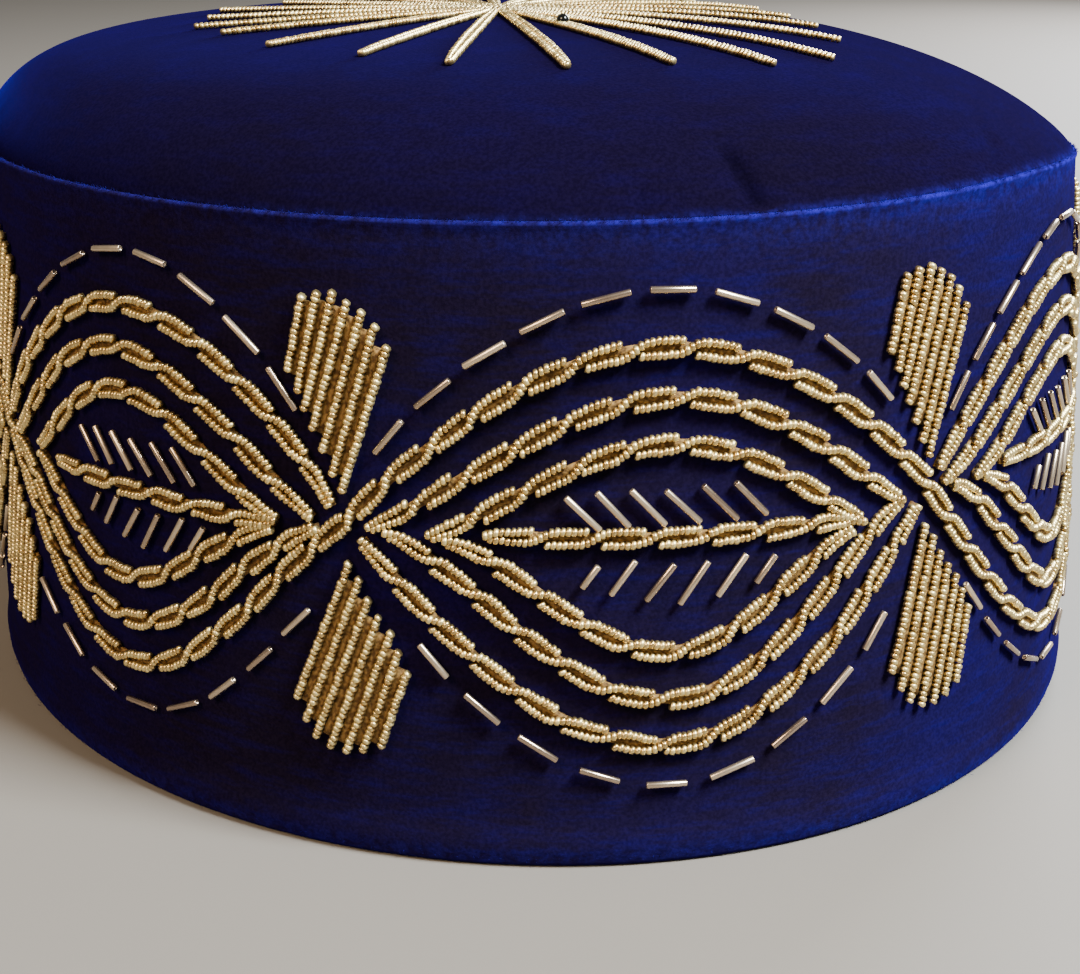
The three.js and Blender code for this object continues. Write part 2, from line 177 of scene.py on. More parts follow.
def sinking(azimuth):
    # depth * cos ^ 2 of the way from the lowest place, nothing beyond its reach
    away = np.abs(np.mod(azimuth - sunk["azimuth"] + 180, 360) - 180) / sunk["reach"]
    return sunk["depth"] * np.cos(np.minimum(away, 1) * math.pi / 2) ** 2


def creasing(fold, share, azimuth):
    # 1 along the middle of a fold, fading to nothing across it and at its two ends
    reach = smoothStep(share, fold["from"], (1 + fold["from"]) / 2) * (1 - np.minimum(share, 1) ** 160)
    middle = fold["azimuth"] + fold["lean"] * (share - fold["from"]) / (1 - fold["from"])
    across = np.mod(azimuth - middle + 180, 360) - 180
    return reach * hump(across, fold["half"])


def crownRise(share, azimuth):
    # rise * (1 - share ^ power) ^ edge, with power and edge blended round the crown, plus a gentle dome
    # * (1 - share ^ 2) ^ 2, less the folds and the sunken side
    puff = 0.5 + 0.5 * np.cos(np.radians(azimuth - crown["puffedSide"]))
    power = crown["slopingPower"] + (crown["puffedPower"] - crown["slopingPower"]) * puff
    edge = crown["slopingEdge"] + (crown["puffedEdge"] - crown["slopingEdge"]) * puff
    rise = crown["rise"] * np.maximum(1 - share ** power, 0) ** edge
    rise = rise + crown["dome"] * np.maximum(1 - share ** 2, 0) ** 2
    for fold in folds:
        rise = rise - fold["depth"] * creasing(fold, share, azimuth)
    return rise - sinking(azimuth) * share ** 8


def crownPoint(share, azimuth, depth=0.0):
    # a point of the crown's outside, moved square to it by a depth
    step = 0.003
    inner, outer = np.maximum(share - step, 0), np.minimum(share + step, 1)
    fall = crownRise(inner, azimuth) - crownRise(outer, azimuth)
    slope = np.arctan2(fall, crown["rimRadius"] * (outer - inner)) * np.minimum(share / step, 1)
    slope = np.where(share >= 1, math.pi / 2, slope)
    radius = crown["rimRadius"] * share - depth * np.sin(slope)
    height = crown["rimHeight"] + crownRise(share, azimuth) - depth * np.cos(slope)
    turn = np.radians(azimuth)
    return np.stack([radius * (1 - cap["oval"]) * np.sin(turn), -radius * (1 + cap["oval"]) * np.cos(turn),
                     height], -1)


def crownFrame(x, y):
    # the point of the crown over a place in plan, and the unit vector out of the cloth there
    def surface(x, y):
        flatX, flatY = x / (1 - cap["oval"]), y / (1 + cap["oval"])
        share = np.hypot(flatX, flatY) / crown["rimRadius"]
        return crown["rimHeight"] + crownRise(share, np.degrees(np.arctan2(flatX, -flatY)))

    step = 0.5
    tiltX = (surface(x + step, y) - surface(x - step, y)) / (2 * step)
    tiltY = (surface(x, y + step) - surface(x, y - step)) / (2 * step)
    return np.stack([x, y, surface(x, y)], -1), unit(np.stack([-tiltX, -tiltY, np.ones_like(x)], -1))


# Materials

def newMaterial(name):
    material = bpy.data.materials.new(name)
    material.use_nodes = True
    nodes = material.node_tree.nodes
    return material, nodes, material.node_tree.links, nodes["Principled BSDF"]


def newGroup(name, inputs, outputs):
    group = bpy.data.node_groups.new(name, "ShaderNodeTree")
    for label, kind, value in inputs:
        group.interface.new_socket(label, in_out="INPUT", socket_type=kind).default_value = value
    for label, kind in outputs:
        group.interface.new_socket(label, in_out="OUTPUT", socket_type=kind)
    given, result = group.nodes.new("NodeGroupInput"), group.nodes.new("NodeGroupOutput")
    return group, group.nodes, group.links, given, result


def addNode(nodes, kind, **settings):
    node = nodes.new(kind)
    for name, value in settings.items():
        setattr(node, name, value)
    return node


def addNoise(nodes, links, coordinates, scale, detail, rough=0.55):
    noise = addNode(nodes, "ShaderNodeTexNoise")
    noise.inputs["Scale"].default_value = scale
    noise.inputs["Detail"].default_value = detail
    noise.inputs["Roughness"].default_value = rough
    links.new(coordinates, noise.inputs["Vector"])
    return noise.outputs["Fac"]


def addRange(nodes, links, value, low, high, newLow=0.0, newHigh=1.0):
    scaled = addNode(nodes, "ShaderNodeMapRange", interpolation_type="SMOOTHSTEP")
    for label, number in (("From Min", low), ("From Max", high), ("To Min", newLow), ("To Max", newHigh)):
        scaled.inputs[label].default_value = number
    links.new(value, scaled.inputs["Value"])
    return scaled.outputs["Result"]


def addMath(nodes, links, operation, first, second, third=None, clamp=False):
    node = addNode(nodes, "ShaderNodeMath", operation=operation, use_clamp=clamp)
    for socket, value in zip(node.inputs, (first, second, third)):
        if isinstance(value, (int, float)):
            socket.default_value = value
        elif value is not None:
            links.new(value, socket)
    return node.outputs[0]


def addMix(nodes, links, factor, first, second):
    mix = addNode(nodes, "ShaderNodeMix", data_type="RGBA")
    for socket, value in ((mix.inputs[0], factor), (mix.inputs[6], first), (mix.inputs[7], second)):
        if isinstance(value, (tuple, float)):
            socket.default_value = value
        else:
            links.new(value, socket)
    return mix.outputs[2]


def addBump(nodes, links, height, shader, strength, distance):
    bump = addNode(nodes, "ShaderNodeBump")
    bump.inputs["Strength"].default_value = strength
    bump.inputs["Distance"].default_value = distance
    links.new(height, bump.inputs["Height"])
    links.new(bump.outputs["Normal"], shader.inputs["Normal"])


# Pile of the velvet: soft patches where the nap lies one way or the other, brush marks, and fine tufts.
# The cloth's tone is painted light: above nothing it mixes in a painted sheen colour, and below nothing, in
# the creases, it darkens the cloth as painted shade.
def makePileGroup():
    group, nodes, links, given, result = newGroup(
        "velvetPile",
        [("Deep", "NodeSocketColor", (0, 0, 0, 1)), ("Lit", "NodeSocketColor", (0, 0, 0.2, 1)),
         ("PaintedEdgeSheen", "NodeSocketColor", (0.01, 0.01, 0.3, 1)), ("Brushed", "NodeSocketFloat", 0.3)],
        [("Colour", "NodeSocketColor"), ("Height", "NodeSocketFloat")])
    place = addNode(nodes, "ShaderNodeTexCoord").outputs["Object"]
    streaks = addNode(nodes, "ShaderNodeMapping")
    streaks.inputs["Scale"].default_value = (1, 1, 6)
    links.new(place, streaks.inputs["Vector"])
    patches = addRange(nodes, links, addNoise(nodes, links, place, 34, 4), 0.32, 0.78, 0.06, 0.6)
    brush = addNoise(nodes, links, streaks.outputs["Vector"], 110, 4, 0.65)
    tufts = addNoise(nodes, links, place, 2100, 2)
    brushMarks = addRange(nodes, links, brush, 0.42, 0.75)
    marks = addMath(nodes, links, "MULTIPLY", brushMarks, given.outputs["Brushed"])
    share = addMath(nodes, links, "MULTIPLY_ADD", patches, 0.7, marks, clamp=True)
    flat = addMix(nodes, links, share, given.outputs["Deep"], given.outputs["Lit"])
    # the tone is painted light: above nothing it mixes the painted sheen colour in along the edges, broken up
    # by fuzz noise
    sheenAndShade = addNode(nodes, "ShaderNodeAttribute", attribute_name="tone").outputs["Fac"]
    fuzz = addRange(nodes, links, addNoise(nodes, links, place, 700, 3), 0.35, 0.65, 0.25, 1.0)
    edge = addMath(nodes, links, "MULTIPLY", sheenAndShade, fuzz, clamp=True)
    # painted shade: where the tone is below nothing, in the creases, the cloth is darkened
    shadeInCreases = addRange(nodes, links, sheenAndShade, -1.5, 0.0, 0.2, 1.0)
    toned = addNode(nodes, "ShaderNodeVectorMath", operation="SCALE")
    links.new(addMix(nodes, links, edge, flat, given.outputs["PaintedEdgeSheen"]), toned.inputs[0])
    tufted = addRange(nodes, links, tufts, 0.3, 0.7, 0.76, 1.16)
    links.new(addMath(nodes, links, "MULTIPLY", tufted, shadeInCreases), toned.inputs["Scale"])
    links.new(toned.outputs[0], result.inputs["Colour"])
    links.new(addMath(nodes, links, "MULTIPLY_ADD", brush, 0.9, tufts), result.inputs["Height"])
    return group


pileGroup = makePileGroup()
velvet = {
    # Deep and Lit are the velvet's own patches; the edge colour is a painted sheen, mixed in along the edges
    "bandVelvet": {"Deep": (0.0062, 0.0040, 0.008, 1), "Lit": (0.0046, 0.0018, 0.056, 1),
                   "PaintedEdgeSheen": (0.012, 0.007, 0.15, 1), "Brushed": 0.35},
    # the crown's velvet colours are darker than the band's: painted shade over the crown
    "crownVelvet": {"Deep": (0.0028, 0.0016, 0.0062, 1), "Lit": (0.0028, 0.0012, 0.0155, 1),
                    "PaintedEdgeSheen": (0.012, 0.007, 0.13, 1), "Brushed": 0.45},
    "bump": 0.09, "sheen": 1.0, "sheenRoughness": 0.34, "sheenTint": (0.0035, 0.0015, 0.054, 1),
}


def makeVelvet(name):
    material, nodes, links, shader = newMaterial(name)
    pile = addNode(nodes, "ShaderNodeGroup", node_tree=pileGroup)
    for label, value in velvet[name].items():
        pile.inputs[label].default_value = value
    links.new(pile.outputs["Colour"], shader.inputs["Base Color"])
    addBump(nodes, links, pile.outputs["Height"], shader, velvet["bump"], 0.0003)
    shader.inputs["Roughness"].default_value = 0.85
    shader.inputs["Specular IOR Level"].default_value = 0
    shader.inputs["Sheen Weight"].default_value = velvet["sheen"]
    shader.inputs["Sheen Roughness"].default_value = velvet["sheenRoughness"]
    shader.inputs["Sheen Tint"].default_value = velvet["sheenTint"]
    return material


# Lining of the glass: each bead has its own tone, and its colour clouds a little along it
def makeGlassGroup():
    group, nodes, links, given, result = newGroup(
        "linedGlass",
        [("Warm", "NodeSocketColor", (0.5, 0.3, 0.15, 1)), ("Pale", "NodeSocketColor", (0.6, 0.5, 0.25, 1)),
         ("Smooth", "NodeSocketFloat", 0.2), ("Rough", "NodeSocketFloat", 0.4)],
        [("Colour", "NodeSocketColor"), ("Roughness", "NodeSocketFloat")])
    place = addNode(nodes, "ShaderNodeTexCoord").outputs["Object"]
    tone = addNode(nodes, "ShaderNodeAttribute", attribute_name="tone").outputs["Fac"]
    clouds = addNoise(nodes, links, place, 900, 2)
    ownShare = addMath(nodes, links, "MULTIPLY_ADD", tone, 0.9, -0.2)
    share = addMath(nodes, links, "MULTIPLY_ADD", clouds, 0.5, ownShare, clamp=True)
    colour = addMix(nodes, links, share, given.outputs["Warm"], given.outputs["Pale"])
    links.new(colour, result.inputs["Colour"])
    spread = addMath(nodes, links, "SUBTRACT", given.outputs["Rough"], given.outputs["Smooth"])
    links.new(addMath(nodes, links, "MULTIPLY_ADD", tone, spread, given.outputs["Smooth"]),
              result.inputs["Roughness"])
    return group


glassGroup = makeGlassGroup()
glass = {
    "seedGold": {"Warm": (0.48, 0.32, 0.12, 1), "Pale": (0.80, 0.64, 0.28, 1),
                 "Smooth": 0.24, "Rough": 0.4},
    "bugleGold": {"Warm": (0.33, 0.23, 0.16, 1), "Pale": (0.68, 0.54, 0.37, 1),
                  "Smooth": 0.2, "Rough": 0.34},
    "darkGlass": {"Warm": (0.02, 0.02, 0.02, 1), "Pale": (0.05, 0.05, 0.045, 1),
                  "Smooth": 0.08, "Rough": 0.1},
}


def makeGlass(name):
    material, nodes, links, shader = newMaterial(name)
    lining = addNode(nodes, "ShaderNodeGroup", node_tree=glassGroup)
    for label, value in glass[name].items():
        lining.inputs[label].default_value = value
    links.new(lining.outputs["Colour"], shader.inputs["Base Color"])
    links.new(lining.outputs["Roughness"], shader.inputs["Roughness"])
    shader.inputs["Metallic"].default_value = 0.92
    shader.inputs["Coat Weight"].default_value = 0.06
    shader.inputs["Coat Roughness"].default_value = 0.06
    return material


def makeThreadAndShadeMaterial():
    material, nodes, links, shader = newMaterial("threadAndGapShade")
    place = addNode(nodes, "ShaderNodeTexCoord").outputs["Object"]
    strands = addNoise(nodes, links, place, 1500, 2)
    share = addRange(nodes, links, strands, 0.35, 0.65)
    # dark brown: the thread's own colour with painted shade and reflection of the gold between the strands
    links.new(addMix(nodes, links, share, (0.066, 0.031, 0.008, 1), (0.21, 0.118, 0.035, 1)),
              shader.inputs["Base Color"])
    addBump(nodes, links, strands, shader, 0.6, 0.0003)
    shader.inputs["Roughness"].default_value = 0.7
    shader.inputs["Specular IOR Level"].default_value = 0.15
    return material


bandVelvet, crownVelvet = makeVelvet("bandVelvet"), makeVelvet("crownVelvet")
seedGold, bugleGold, darkGlass = [makeGlass(name) for name in glass]
threadAndGapShade = makeThreadAndShadeMaterial()
print("materials done")


# The band's cloth: a closed profile carried round the oval

band = {"columns": 480, "wallRows": 60, "hemPuff": 0.45, "hemMiddle": 3.4, "hemHalf": 2.2, "hemRadius": 1.3,
        "welt": 0.45, "waves": 0.22}

# Painted sheen: a bright line along the top edge with a softer glow under it, the crown's rim, the hem, and
# painted light on a part of the wall. Widths and heights are in millimetres.
paintedSheen = {
    "side": 35, "least": 0.15, "power": 1.6, "line": 0.75, "lineWidth": 0.8, "glow": 0.3, "glowWidth": 4,
    "rim": 0.35, "rimWidth": 0.6, "hem": 0.34, "hemHeight": 1.6, "hemWidth": 1.5,
    "wall": 0.13, "litWallAzimuth": 52, "litWallReach": 26,
}


def litSide(azimuth):
    # the painted sheen on the edges is brightest on the lit side of the cap and least on the other
    facing = 0.5 + 0.5 * np.cos(np.radians(azimuth - paintedSheen["side"]))
    return paintedSheen["least"] + (1 - paintedSheen["least"]) * facing ** paintedSheen["power"]


def bandProfile():
    # rows of (offset from the wall's radius, height): hem, outside, rolled top edge, inside, foot
    quarter = np.linspace(-math.pi / 2, 0, 7)
    hem = np.stack([band["hemRadius"] * (np.cos(quarter) - 1), band["hemRadius"] * (1 + np.sin(quarter))], 1)
    welt = band["welt"]
    heights = np.linspace(2.2, cap["height"] - welt - 0.5, band["wallRows"])
    puff = band["hemPuff"] * hump(heights - band["hemMiddle"], band["hemHalf"])
    outside = np.stack([puff, heights], 1)
    half = np.linspace(-0.2, math.pi, 11)
    roll = np.stack([welt * (np.cos(half) - 0.6), cap["height"] + welt * (np.sin(half) - 1)], 1)
    down = np.linspace(cap["height"] - 4, 1.2, 14)
    inside = np.stack([np.full_like(down, -cap["wall"] - 0.1), down], 1)
    foot = np.array([[-cap["wall"] + 0.35, 0.25], [-cap["wall"] + 1.0, 0.0]])
    return np.concatenate([hem, outside, roll, inside, foot])


def makeBandCloth():
    profile = bandProfile()
    turn = np.linspace(0, 2 * math.pi, band["columns"], endpoint=False)
    offset, height = profile[:, :1], profile[:, 1:]
    # slow waves of the hand-made wall, none at the foot and the top edge
    waves = sum(np.sin(k * turn + phase) / k for k, phase in ((3, 0.6), (5, 2.1), (8, 4.0), (13, 1.2)))
    still = np.sin(math.pi * np.clip(height / cap["height"], 0, 1)) ** 0.7
    radius = wallRadius(height) + offset + np.minimum(band["waves"] * waves[None, :] * still, 0.2)
    sunken = height - sinking(np.degrees(turn)) * smoothStep(height, sunk["from"], cap["height"])
    points = np.stack([radius * (1 - cap["oval"]) * np.sin(turn), -radius * (1 + cap["oval"]) * np.cos(turn),
                       sunken], -1).reshape(-1, 3)
    faces = gridFaces(len(profile), band["columns"], closedRows=True)
    # painted sheen along the welt, brightest on the lit side, and along the hem
    below = cap["height"] - height
    paintedLight = paintedSheen["line"] * hump(below, paintedSheen["lineWidth"]) + paintedSheen["glow"] * hump(below, paintedSheen["glowWidth"])
    paintedLight = paintedLight * litSide(np.degrees(turn))
    paintedLight = paintedLight + paintedSheen["hem"] * hump(height - paintedSheen["hemHeight"], paintedSheen["hemWidth"])
    # and painted light over the wall on the side the light comes from
    paintedLight = paintedLight + paintedSheen["wall"] * hump(np.degrees(turn) - paintedSheen["litWallAzimuth"], paintedSheen["litWallReach"])
    return addPiece("band_cloth", [(points, faces, paintedLight.ravel())], bandVelvet, ["band"])


def makeCrownCloth():
    columns = crown["columns"]
    azimuth = np.linspace(0, 360, columns, endpoint=False)[None, :]
    share = np.sin(np.linspace(1, 0.02, crown["rows"]) * math.pi / 2)[:, None]
    # small gathers where the cloth is drawn in at the rim
    gathers = sum(np.sin(k * np.radians(azimuth) + phase) for k, phase in ((41, 0.3), (67, 2.0), (97, 1.1)))
    outside = crownPoint(share, azimuth)
    outside[..., 2] -= crown["gathers"] * (gathers + 1.2) * smoothStep(share, 0.93, 0.99) * (1 - share ** 40)
    inside = crownPoint(np.linspace(1, 0.03, 26)[:, None], azimuth, crown["wall"])
    # the edge is drawn down into the band's welt, then goes in under it and straight down inside the wall
    drop = np.array([0.3, 1.3, 2.8, 5.5, crown["tuck"]])[:, None, None]
    narrow = 1 - np.clip((drop - 0.3) / 2.5, 0, 1) * crown["narrow"] / crown["rimRadius"]
    outsideSkirt = outside[:1] * np.concatenate([narrow, narrow, narrow * 0 + 1], 2) - drop * [0, 0, 1]
    insideSkirt = inside[:1] * np.concatenate([narrow, narrow, narrow * 0 + 1], 2) - drop * [0, 0, 1]
    rows = np.concatenate([outside[::-1], outsideSkirt, insideSkirt[::-1], inside])
    count = len(rows)
    top = crown["rimHeight"] + crown["rise"] + crown["dome"]
    points = np.concatenate([rows.reshape(-1, 3), [[0, 0, top], [0, 0, top - crown["wall"]]]])
    faces = np.concatenate([gridFaces(count, columns)[:, ::-1],
                            fanFaces(columns, count * columns, 0),
                            fanFaces(columns, count * columns + 1, (count - 1) * columns, flip=True)])
    paintedLight = np.zeros((count, columns))
    above = crownRise(share[::-1], azimuth) + sinking(azimuth)
    # painted sheen along the crown's rim, brightest on the lit side
    paintedLight[:len(outside)] = paintedSheen["rim"] * hump(above, paintedSheen["rimWidth"]) * litSide(azimuth)
    # painted shade: the creases are darkened
    creases = sum(fold["depth"] * creasing(fold, share[::-1], azimuth) for fold in folds)
    paintedLight[:len(outside)] -= creases
    paintedLight = np.append(paintedLight.ravel(), [0, 0])
    piece = addPiece("crown_cloth", [(points, faces, paintedLight)], crownVelvet, ["crown"])
    return piece


# Stray pile along the band's top edge and its hem, as thin three-sided spikes
fuzz = {"length": 0.55, "width": 0.08}
fuzzEdges = [
    {"height": cap["height"] - 0.15, "spread": 0.12, "rise": 0.8, "count": 7000},
    {"height": 2.0, "spread": 0.6, "rise": 0.3, "count": 2500},
]


def makeFuzz():
    shapes = []
    for edge in fuzzEdges:
        count = edge["count"]
        girth = rng.uniform(0, wholeGirth, count)
        point, along, up, out = bandFrame(girth, edge["height"] + rng.normal(0, edge["spread"], count))
        if edge["height"] > sunk["from"]:
            point[:, 2] -= sinking(np.degrees(np.interp(girth, girths, turns)))
            point -= 0.35 * rng.random((count, 1)) * out
        way = unit(out + edge["rise"] * up + rng.normal(0, 0.5, (count, 3)))
        side = unit(np.cross(way, along))
        turn = np.arange(3) * 2 * math.pi / 3
        length = fuzz["length"] * rng.uniform(0.5, 1.2, (count, 1))
        foot = point[:, None] + fuzz["width"] / 2 * (np.cos(turn)[:, None] * side[:, None]
                                                     + np.sin(turn)[:, None] * np.cross(way, side)[:, None])
        points = np.concatenate([foot, (point + way * length)[:, None]], 1)
        spike = np.array([[0, 1, 3], [1, 2, 3], [2, 0, 3], [0, 2, 1]])
        faces = spike[None] + (np.arange(count) * 4)[:, None, None]
        # the spikes take the painted sheen colour of the edges
        shapes.append((points.reshape(-1, 3), faces.reshape(-1, 3), np.full(count * 4, 0.8)))
    addPiece("stray_pile", shapes, bandVelvet)


makeBandCloth()
makeCrownCloth()
makeFuzz()
print("cloth done")


# Beads: one closed turned shape, copied to many places in one mesh

beads = {
    # profiles are rows of (radius, place along the thread)
    "seed": {"sides": 7, "profile": [(0, -0.3), (0.55, -0.32), (0.65, 0), (0.55, 0.32), (0, 0.3)]},
    "bugle": {"sides": 8, "profile": [(0, -2.6), (0.2, -3.22), (0.41, -3.25), (0.46, -3.12), (0.46, 3.12),
                                      (0.41, 3.25), (0.2, 3.22), (0, 2.6)]},
    "crystal": {"sides": 12, "profile": [(0, -1.0), (0.6, -0.85), (1.05, -0.35), (1.05, 0.35), (0.6, 0.85),
                                         (0, 1.0)]},
    "pitch": 0.73, "lift": 0.78, "slant": 0.45, "bugleLift": 0.8, "bugleLength": 6.5,
}


def turnedShape(name):
    # a profile turned about its thread, closed by a pole at both ends
    sides = beads[name]["sides"]
    profile = np.array(beads[name]["profile"], float)
    turn = np.linspace(0, 2 * math.pi, sides, endpoint=False)
    rings = profile[1:-1]
    points = np.stack([rings[:, :1] * np.cos(turn), rings[:, :1] * np.sin(turn), rings[:, 1:] + 0 * turn], -1)
    points = np.concatenate([points.reshape(-1, 3), [[0, 0, profile[0, 1]], [0, 0, profile[-1, 1]]]])
    count = len(rings)
    faces = np.concatenate([gridFaces(count, sides), fanFaces(sides, count * sides, 0, flip=True),
                            fanFaces(sides, count * sides + 1, (count - 1) * sides)])
    return points, faces


def copyShape(name, middle, along, out, size):
    # the turned shape at each middle, with its thread along one vector and a side of it along another
    shape, faces = turnedShape(name)
    along = unit(along)
    side = unit(np.cross(along, out))
    axes = np.stack([side, np.cross(along, side), along], 1)
    scaled = shape[None] * np.broadcast_to(size, (len(middle), 3))[:, None, :]
    points = middle[:, None, :] + np.einsum("bvk,bkx->bvx", scaled, axes)
    faces = faces[None] + (np.arange(len(middle)) * len(shape))[:, None, None]
    tone = np.repeat(rng.random(len(middle)), len(shape))
    return points.reshape(-1, 3), faces.reshape(-1, 3), tone


def seedSizes(count):
    return 1 + rng.normal(0, 0.03, (count, 1)) + rng.normal(0, 0.02, (count, 3))


def seedsOnBand(x, z, heading, lift=0.0):
    # seed beads at places of the chart, leaning a little from their headings as in a twisted strand
    point, along, up, out = bandFrame(x, z)
    leant = heading - beads["slant"]
    thread = np.cos(leant)[:, None] * along + np.sin(leant)[:, None] * up
    middle = point + (beads["lift"] + lift + np.zeros(len(x)))[:, None] * out
    return copyShape("seed", middle, thread + rng.normal(0, 0.05, thread.shape), out, seedSizes(len(x)))


# Paths on the chart

def walkPath(path, distance):
    # places and headings at distances along a path
    reached = np.append(0, np.cumsum(np.hypot(*np.diff(path, axis=0).T)))
    ahead, behind = np.minimum(distance + 0.8, reached[-1]), np.maximum(distance - 0.8, 0)
    run = np.interp(ahead, reached, path[:, 0]) - np.interp(behind, reached, path[:, 0])
    climb = np.interp(ahead, reached, path[:, 1]) - np.interp(behind, reached, path[:, 1])
    x, z = np.interp(distance, reached, path[:, 0]), np.interp(distance, reached, path[:, 1])
    return x, z, np.arctan2(climb, run)


def pathLength(path):
    return np.hypot(*np.diff(path, axis=0).T).sum()


def seedLine(start, end):
    # seed beads on a straight line of the chart
    start, end = np.array(start), np.array(end)
    length = np.hypot(*(end - start))
    count = max(round(length / beads["pitch"]), 1)
    share = ((np.arange(count) + 0.5) / count)[:, None]
    place = start + (end - start) * share + rng.normal(0, 0.05, (count, 2))
    return seedsOnBand(place[:, 0], place[:, 1], np.full(count, np.arctan2(*(end - start)[::-1])))


# Rope: overlapping stitches of seed beads. Each starts on the lower strand, crosses over in its middle
# and ends on the upper strand, beside the start of the next.
rope = {"pitch": 7.2, "half": 6.4, "apart": 0.92, "cross": 1.3, "shift": 0.22, "tilt": 0.12,
        "crossLift": 0.25, "liftOver": 1.1, "thin": 0.45, "thinOver": 9.0}


def ropeSeeds(path, closed=False):
    length = pathLength(path)
    count = max(round(length / rope["pitch"]), 1)
    pitch = length / count
    # beads at equal distances on the stitch's S, which is apart * tanh(t / cross)
    t = np.linspace(-rope["half"], rope["half"], 400)
    rise = rope["apart"] * np.tanh(t / rope["cross"])
    reached = np.append(0, np.cumsum(np.hypot(np.diff(t), np.diff(rise))))
    seeds = int(reached[-1] / beads["pitch"])
    place = np.interp((np.arange(seeds) + 0.5) * reached[-1] / seeds, reached, t)[None, :]
    middle = ((np.arange(count + 1 - closed)) * pitch)[:, None]
    middle = middle + rng.normal(0, rope["shift"], middle.shape)
    tilt = rng.normal(0, rope["tilt"], middle.shape)
    distance = middle + place * pitch / rope["pitch"]
    sideways = rope["apart"] * np.tanh(place / rope["cross"]) + tilt * np.cos(place * 0.35)
    if not closed:
        # the strands draw together towards the rope's two ends
        inward = np.minimum(distance, length - distance)
        sideways = sideways * (rope["thin"] + (1 - rope["thin"]) * smoothStep(inward, 0, rope["thinOver"]))
    sideways = sideways + rng.normal(0, 0.04, distance.shape)
    turned = np.arctan(rope["apart"] / rope["cross"] / np.cosh(place / rope["cross"]) ** 2) + 0 * distance
    lift = rope["crossLift"] * hump(place, rope["liftOver"]) + 0 * distance
    if closed:
        distance = np.mod(distance, length)
    kept = (distance > 0.2) & (distance < length - 0.2)
    distance, sideways, turned, lift = distance[kept], sideways[kept], turned[kept], lift[kept]
    x, z, heading = walkPath(path, distance)
    return seedsOnBand(x - np.sin(heading) * sideways, z + np.cos(heading) * sideways, heading + turned, lift)


# Thread and padding with painted shade, dark between the strands: a thin flat strip laid under a line of
# beads
strip = {"width": 1.2, "low": 0.02, "high": 0.5, "step": 1.6, "widestGap": 6, "from": 0.04, "to": 0.93}


def threadAndShadeStrip(path):
    length = pathLength(path)
    steps = max(int(length / strip["step"]), 4)
    x, z, heading = walkPath(path, np.linspace(0.4, length - 0.4, steps))
    half = strip["width"] / 2
    corners = ((-half, strip["low"]), (half, strip["low"]), (half, strip["high"]), (-half, strip["high"]))
    rows = []
    for across, lift in corners:
        point, along, up, out = bandFrame(x - np.sin(heading) * across, z + np.cos(heading) * across)
        rows.append(point + lift * out)
    points = np.stack(rows, 1).reshape(-1, 3)
    ends = np.array([[0, 2, 1], [0, 3, 2]])
    faces = np.concatenate([gridFaces(steps, 4), ends, ends[:, ::-1] + (steps - 1) * 4])
    return points, faces, np.zeros(len(points))


# Two drawings of an eye of the pattern. x runs round the band from the eye's first crossing, z up from
# the line between its two crossings, and rise is how far an arch leaves that line.
drawings = {
    "long": {
        "width": 80.2, "rib": {"from": (18.0, -0.3), "to": (68.0, -1.9)}, "bugleShift": 0.0,
        "outerTop": {"from": (0, 0), "to": (80.2, 0), "rise": 23.5, "power": 0.89, "lean": -0.03},
        "middleTop": {"from": (3.0, -0.3), "to": (75.4, -0.8), "rise": 17.7, "power": 1.13, "lean": -0.14},
        "innerTop": {"from": (10.6, -1.0), "to": (69.2, -2.4), "rise": 12.9, "power": 1.18, "lean": -0.13},
        "innerLow": {"from": (12.8, -1.1), "to": (67.6, -3.4), "rise": -14.4, "power": 1.56, "lean": -0.11},
        "middleLow": {"from": (5.2, -0.7), "to": (75.6, -1.0), "rise": -22.7, "power": 1.41, "lean": -0.1},
        "outerLow": {"from": (0, 0), "to": (80.2, 0), "rise": -29.9, "power": 0.97, "lean": -0.09},
        "dashTop": {"from": (4.6, 9.6), "to": (72.8, 13.0),
                    "rise": 19.3, "power": 0.8, "lean": -0.03, "count": 10},
        "dashLow": {"from": (9.8, -15.4), "to": (72.7, -16.1),
                    "rise": -19.9, "power": 0.81, "lean": -0.05, "count": 9},
    },
    "tall": {
        "width": 72.4, "rib": {"from": (18.5, -1.0), "to": (62.3, -1.2)}, "bugleShift": 1.0,
        "outerTop": {"from": (0, 0), "to": (72.4, 0), "rise": 24.9, "power": 0.76, "lean": -0.06},
        "middleTop": {"from": (4.6, -0.2), "to": (68.0, 0.0), "rise": 18.9, "power": 1.05, "lean": 0.05},
        "innerTop": {"from": (12.4, -0.4), "to": (62.8, -0.9), "rise": 13.5, "power": 1.21, "lean": 0.13},
        "innerLow": {"from": (12.6, -1.6), "to": (62.0, -2.0), "rise": -12.6, "power": 1.4, "lean": 0.24},
        "middleLow": {"from": (4.4, -1.4), "to": (68.8, -1.0), "rise": -19.6, "power": 1.35, "lean": 0.12},
        "outerLow": {"from": (0, 0), "to": (72.4, 0), "rise": -27.2, "power": 1.18, "lean": 0.09},
        "dashTop": {"from": (3.9, 11.5), "to": (65.5, 14.5),
                    "rise": 19.1, "power": 0.81, "lean": -0.16, "count": 9},
        "dashLow": {"from": (10.2, -22.6), "to": (66.6, -12.4),
                    "rise": -16.0, "power": 0.94, "lean": -0.06, "count": 8},
    },
}

